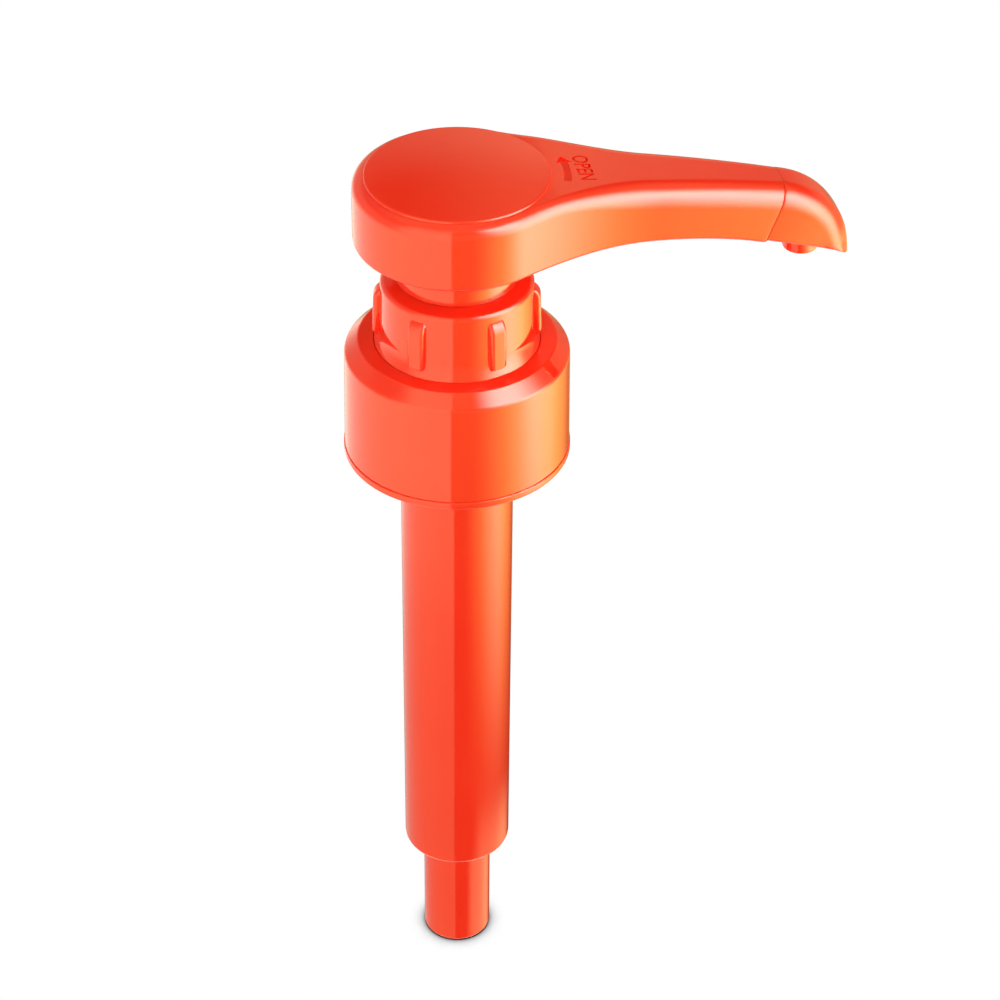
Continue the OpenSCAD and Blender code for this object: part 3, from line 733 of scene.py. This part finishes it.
def half_outline():
    """One side of the head's plan, from behind the head to the seam.
    Each spot has its place, its outward normal and its share of the arm's straight side."""
    slope = math.hypot(1, ARM_TAPER)
    offset = ARM_HALF_W + ARM_TAPER * SEAM_REACH + ARM_FILLET_R * slope
    far = HEAD_R + ARM_FILLET_R
    half = offset * ARM_TAPER
    root = math.sqrt(half ** 2 - slope ** 2 * (offset ** 2 - far ** 2))
    fillet_u = (half + root) / slope ** 2
    fillet_v = offset - ARM_TAPER * fillet_u
    meet = math.atan2(fillet_v, fillet_u)
    side_u = fillet_u - ARM_FILLET_R * ARM_TAPER / slope
    outline = []
    for n in range(HEAD_STEPS):
        a = math.pi - (math.pi - meet) * n / HEAD_STEPS
        across = math.cos(a), math.sin(a)
        outline.append((HEAD_R * across[0], HEAD_R * across[1], *across, 0))
    sweep = math.pi / 2 - math.atan(ARM_TAPER) - meet
    for n in range(FILLET_STEPS):
        a = math.pi + meet + sweep * n / FILLET_STEPS
        across = -math.cos(a), -math.sin(a)
        outline.append((fillet_u - ARM_FILLET_R * across[0], fillet_v - ARM_FILLET_R * across[1],
                        *across, 0))
    for n in range(SIDE_STEPS + 1):
        u = side_u + (SEAM_REACH - side_u) * n / SIDE_STEPS
        outline.append((u, ARM_HALF_W + ARM_TAPER * (SEAM_REACH - u), 0, 1, n / SIDE_STEPS))
    return outline


def skin_rings():
    """Rings round the head and arm, from the lower edge up to the top, each from seam to seam."""
    outline = half_outline()
    around = [(spot, -1) for spot in reversed(outline)] + [(spot, 1) for spot in outline[1:]]
    turns = [(True, math.pi / 2 * n / LOWER_STEPS) for n in range(LOWER_STEPS + 1)]
    turns += [(False, math.pi / 2 * n / UPPER_STEPS) for n in range(UPPER_STEPS + 1)]
    rings = []
    for lower, bend in turns:
        ring = []
        for (u, v, across_u, across_v, share), side in around:
            r = LOWER_EDGE_R if lower else edge_round(u)
            inset = r * (1 - (math.sin(bend) if lower else math.cos(bend)))
            u -= across_u * inset
            if lower:
                z = under_line(u) + r * (1 - math.cos(bend))
            else:
                z = top_line(u) - r * (1 - math.sin(bend))
            lean = share * (seam_line(z) - SEAM_REACH)
            ring.append((u + lean, side * (v - across_v * inset), z))
        rings.append(ring)
    return rings


def head_skin():
    """The head and arm's outer form as one closed skin."""
    rings = skin_rings()
    levels = range(len(rings))
    count = len(rings[0])
    half = count // 2
    faces = [(k * count + i, k * count + i + 1, (k + 1) * count + i + 1, (k + 1) * count + i)
             for k in levels[:-1] for i in range(count - 1)]
    for level in (0, levels[-1] * count):
        end = level + count - 1
        faces += [(level + i, level + i + 1, end - 1 - i, end - i) for i in range(half - 1)]
        faces.append((level + half - 1, level + half, level + half + 1))
    faces.append((*(k * count for k in levels), *((k + 1) * count - 1 for k in reversed(levels))))
    return mesh_piece("head_and_arm", [spot for ring in rings for spot in ring], faces)


def tip_section(t):
    """One section of the tip, square to its middle line, from the seam (0) to the nose (1)."""
    start = Vector((seam_line(SEAM_HIGH), SEAM_HIGH))
    nose = Vector((NOSE_U, NOSE_Z))
    dive = start + CROWN_BEND * Vector((math.cos(SEAM_LEAN / 2), -math.sin(SEAM_LEAN / 2)))
    brow = nose + Vector((-OVERLAP, CROWN_BEND))
    crown = ((1 - t) ** 3 * start + 3 * t * (1 - t) ** 2 * dive
             + 3 * t * t * (1 - t) * brow + t ** 3 * nose)
    base_u = mix(seam_line(SEAM_LOW), NOSE_U - NOSE_SETBACK, t)
    base = Vector((base_u, SEAM_LOW if t == 0 else under_line(base_u)))
    up = (crown - base).normalized()
    h = (crown - base).length
    w = mix(ARM_HALF_W, ARM_HALF_W * NOSE_SHARE, t * t)
    wide, tall = min(ARM_EDGE_R, TIP_WIDE_SHARE * w), min(ARM_EDGE_R, TIP_TALL_SHARE * h)
    foot = min(LOWER_EDGE_R, TIP_FOOT_SHARE * h)
    section = []
    for n in range(4 * (CORNER_STEPS + 1)):
        corner, step = divmod(n, CORNER_STEPS + 1)
        a = math.pi * (1.5 - corner / 2 - step / CORNER_STEPS / 2)
        rx, ry = (foot, foot) if corner in (0, 3) else (wide, tall)
        across = (w - rx) * (-1 if corner < 2 else 1) + rx * math.cos(a)
        along = (foot if corner in (0, 3) else h - ry) + ry * math.sin(a)
        section.append((base.x + up.x * along, across, base.y + up.y * along))
    return section


def tip_skin():
    """The tip's outer form, lofted through its sections."""
    return lofted("drooping_tip", [tip_section(n / TIP_STEPS) for n in range(TIP_STEPS + 1)])


def on_seam(spot):
    """Whether a spot lies in the leaning face at the seam."""
    return abs(spot.x - seam_line(spot.z)) < SEAM_NEAR


def round_seam(piece):
    """Break the sharp edge round the face at the seam, so that a fine groove shows there."""
    return bevel_edges(piece, lambda first, last: on_seam(first) and on_seam(last),
                       SEAM_ROUND, SEAM_ROUND_STEPS)


def thumb_pad():
    """The raised pad, crowned, with a soft edge."""
    edge_z = HEAD_TOP + PAD_RISE
    shares = [n / PAD_STEPS for n in range(1, PAD_STEPS)]
    crown = [(PAD_R * share, edge_z + PAD_CROWN * (1 - share ** 2)) for share in shares]
    return turn("thumb_pad", [
        *crown, (PAD_R, edge_z, PAD_ROUND), (PAD_R + PAD_DRAFT, HEAD_TOP - OVERLAP)], solid=True)


# Marks in the arm's top

MARK_DEPTH = 0.5 * MM
SLOPE_STEP = 1 * MM
WORD_U = 24.6 * MM
WORD_V = -0.6 * MM
WORD_SIZE = (9.3 * MM, 3.2 * MM)
WORD_WEIGHT = 0.012
ARROW_R = 21.2 * MM
ARROW_TAIL = math.radians(-15.5)
ARROW_BARB = math.radians(4)
ARROW_POINT = math.radians(10.5)
ARROW_HALF_W = 0.75 * MM
ARROW_HALF_BARB = 1.65 * MM
ARROW_TILT = 0.07
ARROW_STEPS = 10


def onto_arm(shape, u, v):
    """Lay a shape that stands on the origin onto the arm's falling top."""
    drop = top_line(u - SLOPE_STEP) - top_line(u + SLOPE_STEP)
    fall = Matrix.Rotation(math.atan2(drop, 2 * SLOPE_STEP), 4, "Y")
    shape.data.transform(Matrix.Translation((u, v, top_line(u))) @ fall)
    return shape


def open_word():
    """The word that stands next to the arrow, read from behind the head, as a cutter."""
    deselect()
    bpy.ops.object.text_add()
    word = bpy.context.object
    word.data.body = "OPEN"
    word.data.offset = WORD_WEIGHT
    word.data.extrude = MARK_DEPTH
    bpy.ops.object.convert(target="MESH")
    corners = [corner.co for corner in word.data.vertices]
    low = [min(corner[k] for corner in corners) for k in (0, 1)]
    high = [max(corner[k] for corner in corners) for k in (0, 1)]
    middle = Vector([(a + b) / 2 for a, b in zip(low, high)] + [0])
    fit = Matrix.Diagonal([size / (b - a) for size, a, b in zip(WORD_SIZE, low, high)] + [1, 1])
    quarter = Matrix.Rotation(-math.pi / 2, 4, "Z")
    word.data.transform(quarter @ fit @ Matrix.Translation(-middle))
    return onto_arm(tidy_mesh(word), WORD_U, WORD_V)


def open_arrow():
    """The arrow that shows which way to unscrew the head, bent round the axis, as a cutter."""
    turns = [mix(ARROW_TAIL, ARROW_BARB, n / ARROW_STEPS) for n in range(ARROW_STEPS + 1)]
    outline = [(ARROW_R + ARROW_HALF_W, a) for a in turns]
    outline += [(ARROW_R + ARROW_HALF_BARB, ARROW_BARB), (ARROW_R, ARROW_POINT),
                (ARROW_R - ARROW_HALF_BARB, ARROW_BARB)]
    outline += [(ARROW_R - ARROW_HALF_W, a) for a in reversed(turns)]
    rings = [[(r * math.cos(a) - ARROW_R, r * math.sin(a),
               side * MARK_DEPTH + (1 - side) * ARROW_TILT * (r - ARROW_R)) for r, a in outline]
             for side in (-1, 1)]
    return onto_arm(lofted("arrow", rings), ARROW_R, 0)


# Head and spout tip

HEAD_WALL = 2.2 * MM
HOLLOW_ROUND = 1 * MM
FUSE_DEPTH = 1.3 * MM
BAND_R = 12.2 * MM
BAND_DROP = 8.5 * MM
SKIRT_R = 11.4 * MM
SKIRT_WALL = 1.7 * MM
SKIRT_CREST_R = 11.9 * MM
SKIRT_TURNS = 2.2
SKIRT_START = 2.4 * MM
BOSS_R = 7.6 * MM
BOSS_GRIP = 20 * MM
STEM_BORE_R = 4 * MM
CHANNEL_R = 3.2 * MM
CHANNEL_LIFT = 0.5 * MM
CHANNEL_FALL = math.radians(6.5)
CHANNEL_Z = SEAM_MID + CHANNEL_LIFT + SEAM_REACH * math.tan(CHANNEL_FALL)
SPIGOT_R = 4.1 * MM
SPIGOT_LEN = 6 * MM
SPIGOT_START = SEAM_REACH - SPIGOT_LEN
NOZZLE_U = SEAM_REACH + 7.1 * MM
NOZZLE_R = 3.5 * MM
NOZZLE_BORE_R = 2.3 * MM
NOZZLE_DROP = 3.1 * MM


def along_channel(shape, start):
    """Lay a shape that stands on the origin along the arm's channel."""
    spot = (start * math.cos(CHANNEL_FALL), 0, CHANNEL_Z - start * math.sin(CHANNEL_FALL))
    lay = Matrix.Rotation(math.pi / 2 + CHANNEL_FALL, 4, "Y")
    shape.data.transform(Matrix.Translation(spot) @ lay)
    return shape


def head():
    """Head, arm, band and lock skirt as one hollow moulding, with the channel to the tip."""
    band_z = HEAD_LOW - BAND_DROP
    skirt_in_r = SKIRT_R - SKIRT_WALL
    socket_r = STEM_R + SEAT_GAP
    boss_z = STEM_TOP - BOSS_GRIP
    fused_z = HEAD_LOW + FUSE_DEPTH
    rib_v = CHANNEL_R + HEAD_WALL
    below = HEAD_LOW - CUT_CLEAR
    hollow_r = HEAD_R - HEAD_WALL
    hollow_in_r = BAND_R - HEAD_WALL / 2
    hollow_top = HEAD_TOP - HEAD_WALL
    band_top = HEAD_LOW + HEAD_WALL
    ring_top = CHANNEL_Z - CHANNEL_R - 2 * HEAD_WALL
    piece = round_seam(head_skin())
    add(piece, thumb_pad())
    cut(piece, open_word(), open_arrow())
    hollow = turn("hollow", [
        (BAND_R, below), (hollow_r, below), (hollow_r, hollow_top, HOLLOW_ROUND),
        (hollow_in_r, hollow_top, BROAD), (hollow_in_r, band_top), (BAND_R, band_top)])
    cut(hollow, block("channel_rib", (0, -rib_v, below - OVERLAP), (HEAD_R, rib_v, HEAD_TOP)))
    cut(piece, hollow)
    add(piece, turn("band_and_skirt", [
        (skirt_in_r, SKIRT_Z, EASED), (SKIRT_R, SKIRT_Z, SOFT), (SKIRT_R, band_z),
        (BAND_R, band_z, FINE), (BAND_R, fused_z), (skirt_in_r, fused_z)]))
    add(piece, turn("boss", [
        (socket_r, boss_z, EASED), (BOSS_R, boss_z, SOFT), (BOSS_R, fused_z),
        (socket_r, fused_z)]))
    cut(piece, turn("skirt_space", [
        (BOSS_R, below), (skirt_in_r, below), (skirt_in_r, ring_top, BROAD),
        (BOSS_R, ring_top, BROAD)]))
    cut(piece, rod("stem_socket", socket_r, below, STEM_TOP))
    cut(piece, rod("riser", STEM_BORE_R, below, CHANNEL_Z))
    cut(piece, along_channel(rod("channel", CHANNEL_R, 0, NOSE_U), 0))
    spigot_socket = rod("spigot_socket", SPIGOT_R + SEAT_GAP, 0, NOSE_LEN)
    cut(piece, along_channel(spigot_socket, SPIGOT_START))
    add(piece, thread("lock_thread_on_skirt", SKIRT_R, SKIRT_CREST_R,
                      SKIRT_Z + SKIRT_START, LOCK_PITCH, SKIRT_TURNS))
    hand_in(piece, "plunger", "shell_plastic", "head")


def spout_tip():
    """The drooping tip with its nozzle, and the spigot that plugs into the arm."""
    mouth_z = under_line(NOZZLE_U) - NOZZLE_DROP
    throat_z = CHANNEL_Z - NOZZLE_U * math.tan(CHANNEL_FALL)
    channel_len = SPIGOT_LEN + NOZZLE_U - SEAM_REACH + OVERLAP
    piece = round_seam(tip_skin())
    nozzle = turn("nozzle", [
        (NOZZLE_BORE_R, mouth_z, FINE), (NOZZLE_R, mouth_z, SOFT), (NOZZLE_R, throat_z),
        (NOZZLE_BORE_R, throat_z)])
    nozzle.data.transform(Matrix.Translation((NOZZLE_U, 0, 0)))
    add(piece, nozzle)
    spigot = rod("spigot", SPIGOT_R, SEAT_GAP, SPIGOT_LEN + OVERLAP)
    add(piece, along_channel(spigot, SPIGOT_START))
    channel = rod("channel", CHANNEL_R, -OVERLAP, channel_len)
    cut(piece, along_channel(channel, SPIGOT_START))
    cut(piece, rod("mouth", NOZZLE_BORE_R, mouth_z - OVERLAP, throat_z, (NOZZLE_U, 0)))
    hand_in(piece, "plunger", "shell_plastic", "spout_tip")


head()
spout_tip()


# Return spring

SPRING_CURLS = 9
WIRE_R = 0.65 * MM
CURL_STEPS = 40
WIRE_STEPS = 14


def return_spring():
    """A round wire wound in a helix, stretched between the cylinder's floor and the piston."""
    mean_r = SPRING_R - WIRE_R
    low, high = SPRING_LOW + WIRE_R, SPRING_HIGH - WIRE_R
    steps = SPRING_CURLS * CURL_STEPS
    rings = []
    for n in range(steps + 1):
        a = 2 * math.pi * n / CURL_STEPS
        z = mix(low, high, n / steps)
        ring = []
        for k in range(WIRE_STEPS):
            b = 2 * math.pi * k / WIRE_STEPS
            r = mean_r + WIRE_R * math.cos(b)
            ring.append((r * math.cos(a), r * math.sin(a), z + WIRE_R * math.sin(b)))
        rings.append(ring)
    piece = finished(lofted("spring_wire", rings), "spring_steel", "return_spring")
    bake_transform(piece)


return_spring()


# Stage: floor, background, screens, lamps and camera; places in metres, sides in degrees

FLOOR_R = 0.1
FLOOR_STEPS = 96
SHADOW_REACH = 0.012
SHADOW_SPAN = (0.43, 0.77)
SHADOW_SAMPLES = 16
WHITE = (1, 1, 1)
ROOM_LIGHT = 0.72
SCREEN_R = 0.3
SCREEN_H = 2
SCREEN_STEPS = 192
SCREEN_SPLIT = (-17, -14.5)
SCREEN_FOOT = (-0.34, -0.17)
SCREEN_END_DIM = -0.8
SCREEN_SLANT = 0.005
LOOK_AT = Vector((0, 0, 0.03))
CAMERA_SPOT = (-0.0852, -0.4832, 0.3376)
CAMERA_TILT = math.radians(53.26)
CAMERA_TURN = math.radians(-10)
CAMERA_LENS = 106.7
CAMERA_SENSOR = 36
CAMERA_SHIFT = 0.043


class LightSheet(Sheet):
    """The node tree of a light, built up from nothing."""

    def __init__(self, owner):
        super().__init__(owner)
        self.nodes.clear()

    def bearings(self, coordinates):
        """Angle round the pump, 0 at the front and growing to the right, and the height."""
        place = self.node("ShaderNodeTexCoord").outputs[coordinates]
        x, y, z = self.node("ShaderNodeSeparateXYZ", {"Vector": place}).outputs
        front = self.math("MULTIPLY", y, -1.0)
        return self.math("DEGREES", self.math("ARCTAN2", x, front)), z

    def glow(self, kind, colour, *shares):
        """Light of a colour, as strong as the product of its shares."""
        strength = shares[0]
        for share in shares[1:]:
            strength = self.math("MULTIPLY", strength, share)
        return self.node(kind, {"Color": (*colour, 1), "Strength": strength}).outputs[0]

    def sum_of(self, first, *others):
        """Lights laid over each other."""
        for other in others:
            first = self.node("ShaderNodeAddShader", enumerate((first, other))).outputs[0]
        return first

    def either(self, share, first, last):
        """The first light, or the last one where the share is 1."""
        return self.node("ShaderNodeMixShader", {0: share, 1: first, 2: last}).outputs[0]


def unseen_by(piece, *rays):
    """Hide a piece of the stage from some kinds of rays."""
    for ray in rays:
        setattr(piece, "visible_" + ray, False)


def floor():
    """A white round floor that glows, with a painted contact shadow where the foot stands, and
    fades into the background.
    """
    deselect()
    bpy.ops.mesh.primitive_circle_add(
        vertices=FLOOR_STEPS, radius=FLOOR_R, fill_type="NGON", location=(0, 0, FOOT_END))
    piece = bpy.context.object
    piece.name = "floor"
    bpy.ops.object.transform_apply()
    material = bpy.data.materials.new("floor_white_painted_shadow")
    sheet = LightSheet(material)
    # Painted shadow: the floor only glows, and ambient occlusion near the pump darkens that glow;
    # no lamp lights it.
    nearness = sheet.node(
        "ShaderNodeAmbientOcclusion", {"Distance": SHADOW_REACH}, samples=SHADOW_SAMPLES)
    painted_shadow = sheet.slope(nearness.outputs["AO"], *SHADOW_SPAN)
    white = sheet.glow("ShaderNodeEmission", WHITE, painted_shadow)
    sheet.node("ShaderNodeOutputMaterial", {"Surface": white})
    piece.data.materials.append(material)
    unseen_by(piece, "glossy", "diffuse", "shadow")


def background():
    """White behind the pump, a plain room light on it, and a dim studio in its reflections."""
    world = bpy.data.worlds.new("white_room")
    bpy.context.scene.world = world
    sheet = LightSheet(world)
    slope = sheet.slope
    path = sheet.node("ShaderNodeLightPath").outputs
    side, z = sheet.bearings("Generated")
    up = sheet.math("DEGREES", sheet.math("ARCSINE", z))

    def far(colour, *shares):
        return sheet.glow("ShaderNodeBackground", colour, *shares)

    backdrop = far((1, 0.9, 0.6), slope(up, -45, 12, 0.05, 0.48), slope(up, 22, 35, 1.0, 0.08))
    back_right = far((1, 0.8, 0.4), slope(side, 152, 166), slope(side, 160, 176, 0.75, 0.0),
                     slope(up, 0, 15), slope(up, 40, 60, 1.0, 0.0))
    table = far((1, 0.95, 0.85), slope(up, -66, -55, 1.2, 0.0))
    ceiling = far((1, 0.85, 0.4), slope(up, 44, 62))
    reflected = sheet.sum_of(backdrop, back_right, table, ceiling)
    lit = sheet.either(path["Is Glossy Ray"], far(WHITE, ROOM_LIGHT), reflected)
    seen = sheet.math("MAXIMUM", path["Is Camera Ray"], path["Is Transmission Ray"])
    sheet.node("ShaderNodeOutputWorld", {"Surface": sheet.either(seen, lit, far(WHITE, 1.0))})


def studio_screen():
    """Bright screens left and right, which show in the gloss alone and let all else through."""
    deselect()
    bpy.ops.mesh.primitive_cylinder_add(
        vertices=SCREEN_STEPS, radius=SCREEN_R, depth=SCREEN_H, end_fill_type="NOTHING")
    piece = bpy.context.object
    piece.name = "studio_screen"
    material = bpy.data.materials.new("studio_screen")
    sheet = LightSheet(material)
    slope = sheet.slope
    side, z = sheet.bearings("Object")
    slant = sheet.math("MULTIPLY_ADD", side, SCREEN_SLANT, z)
    top = slope(z, 0.3, 0.6, 1.0, 0.1)
    lit = slope(z, -0.4, -0.14)

    def screen(colour, *shares):
        return sheet.glow("ShaderNodeEmission", colour, top, *shares)

    def dimmed(high, edge):
        """A share that falls where a screen is both high up and round the side."""
        both = sheet.math("MULTIPLY", high, edge)
        return sheet.math("MULTIPLY_ADD", both, SCREEN_END_DIM, 1.0)

    left_end = dimmed(slope(z, -0.08, 0.06), slope(side, -85, -55, 1.0, 0.0))
    right_end = dimmed(slope(z, -0.16, -0.02), slope(side, 72, 95))
    left = screen((1, 0.9, 0.48), slope(side, *SCREEN_SPLIT, 1.0, 0.0),
                  slope(side, -150, -60, 0.15, 1.0), slope(z, *SCREEN_FOOT, 1.05, 2.6), left_end)
    pale = screen((1, 0.97, 0.9), slope(side, -180, -165), slope(side, -150, -70, 0.58, 0.0),
                  slope(z, *SCREEN_FOOT, 1.0, 2.0), left_end)
    front = screen((1, 0.8, 0.12), slope(side, *SCREEN_SPLIT), slope(side, 40, 80, 1.0, 0.0),
                   slope(z, -0.3, -0.16, 0.0, 0.8))
    wash = screen((1, 0.72, 0.15), slope(side, 2, 54, 0.0, 6.2), slope(side, 82, 145, 1.0, 0.06),
                  lit, right_end, slope(z, 0.02, 0.18, 1.0, 0.25))
    core = screen((1, 0.95, 0.75), slope(side, 35, 70, 0.0, 2.8), slope(side, 75, 115, 1.0, 0.0),
                  lit, right_end)
    high = screen((1, 0.96, 0.92), slope(side, 8, 40, 0.0, 13.0), slope(side, 50, 88, 1.0, 0.0),
                  slope(slant, 0.06, 0.485), slope(slant, 0.5, 1.0, 1.0, 0.15))
    low = screen((1, 0.75, 0.35), slope(side, 20, 50, 0.0, 2.4), slope(side, 100, 150, 1.0, 0.0),
                 slope(z, -0.4, -0.36, 1.0, 0.0))
    clear = sheet.node("ShaderNodeBsdfTransparent").outputs[0]
    shine = sheet.sum_of(clear, left, pale, front, wash, core, high, low)
    sheet.node("ShaderNodeOutputMaterial", {"Surface": shine})
    piece.data.materials.append(material)
    unseen_by(piece, "camera", "diffuse", "transmission", "shadow")


def softbox(name, azimuth, elevation, distance, width, strength, colour=WHITE):
    """A square lamp that faces the pump. Azimuth 0 is the -Y side, and it grows towards +X."""
    lamp = bpy.data.lights.new(name, "AREA")
    lamp.shape = "RECTANGLE"
    lamp.size = lamp.size_y = width
    lamp.color = colour
    lamp.energy = strength * math.pi * width * width
    holder = bpy.data.objects.new(name, lamp)
    a, e = math.radians(azimuth), math.radians(elevation)
    back = Vector((math.sin(a) * math.cos(e), -math.cos(a) * math.cos(e), math.sin(e)))
    holder.location = LOOK_AT + back * distance
    holder.rotation_euler = back.to_track_quat("Z", "Y").to_euler()
    unseen_by(holder, "camera", "glossy")
    bpy.context.scene.collection.objects.link(holder)


def camera():
    """The camera at the photograph's viewing angle."""
    lens = bpy.data.cameras.new("camera")
    lens.lens = CAMERA_LENS
    lens.sensor_width = CAMERA_SENSOR
    lens.shift_x = CAMERA_SHIFT
    holder = bpy.data.objects.new("camera", lens)
    holder.location = CAMERA_SPOT
    holder.rotation_euler = (CAMERA_TILT, 0, CAMERA_TURN)
    bpy.context.scene.collection.objects.link(holder)
    bpy.context.scene.camera = holder


floor()
background()
studio_screen()
softbox("key", azimuth=-35, elevation=14, distance=0.55, width=0.35, strength=3.7)
softbox("warm_side", azimuth=75, elevation=20, distance=0.8, width=0.5, strength=3.0,
        colour=(1.0, 0.9, 0.75))
camera()
bpy.context.scene.view_settings.view_transform = "Standard"
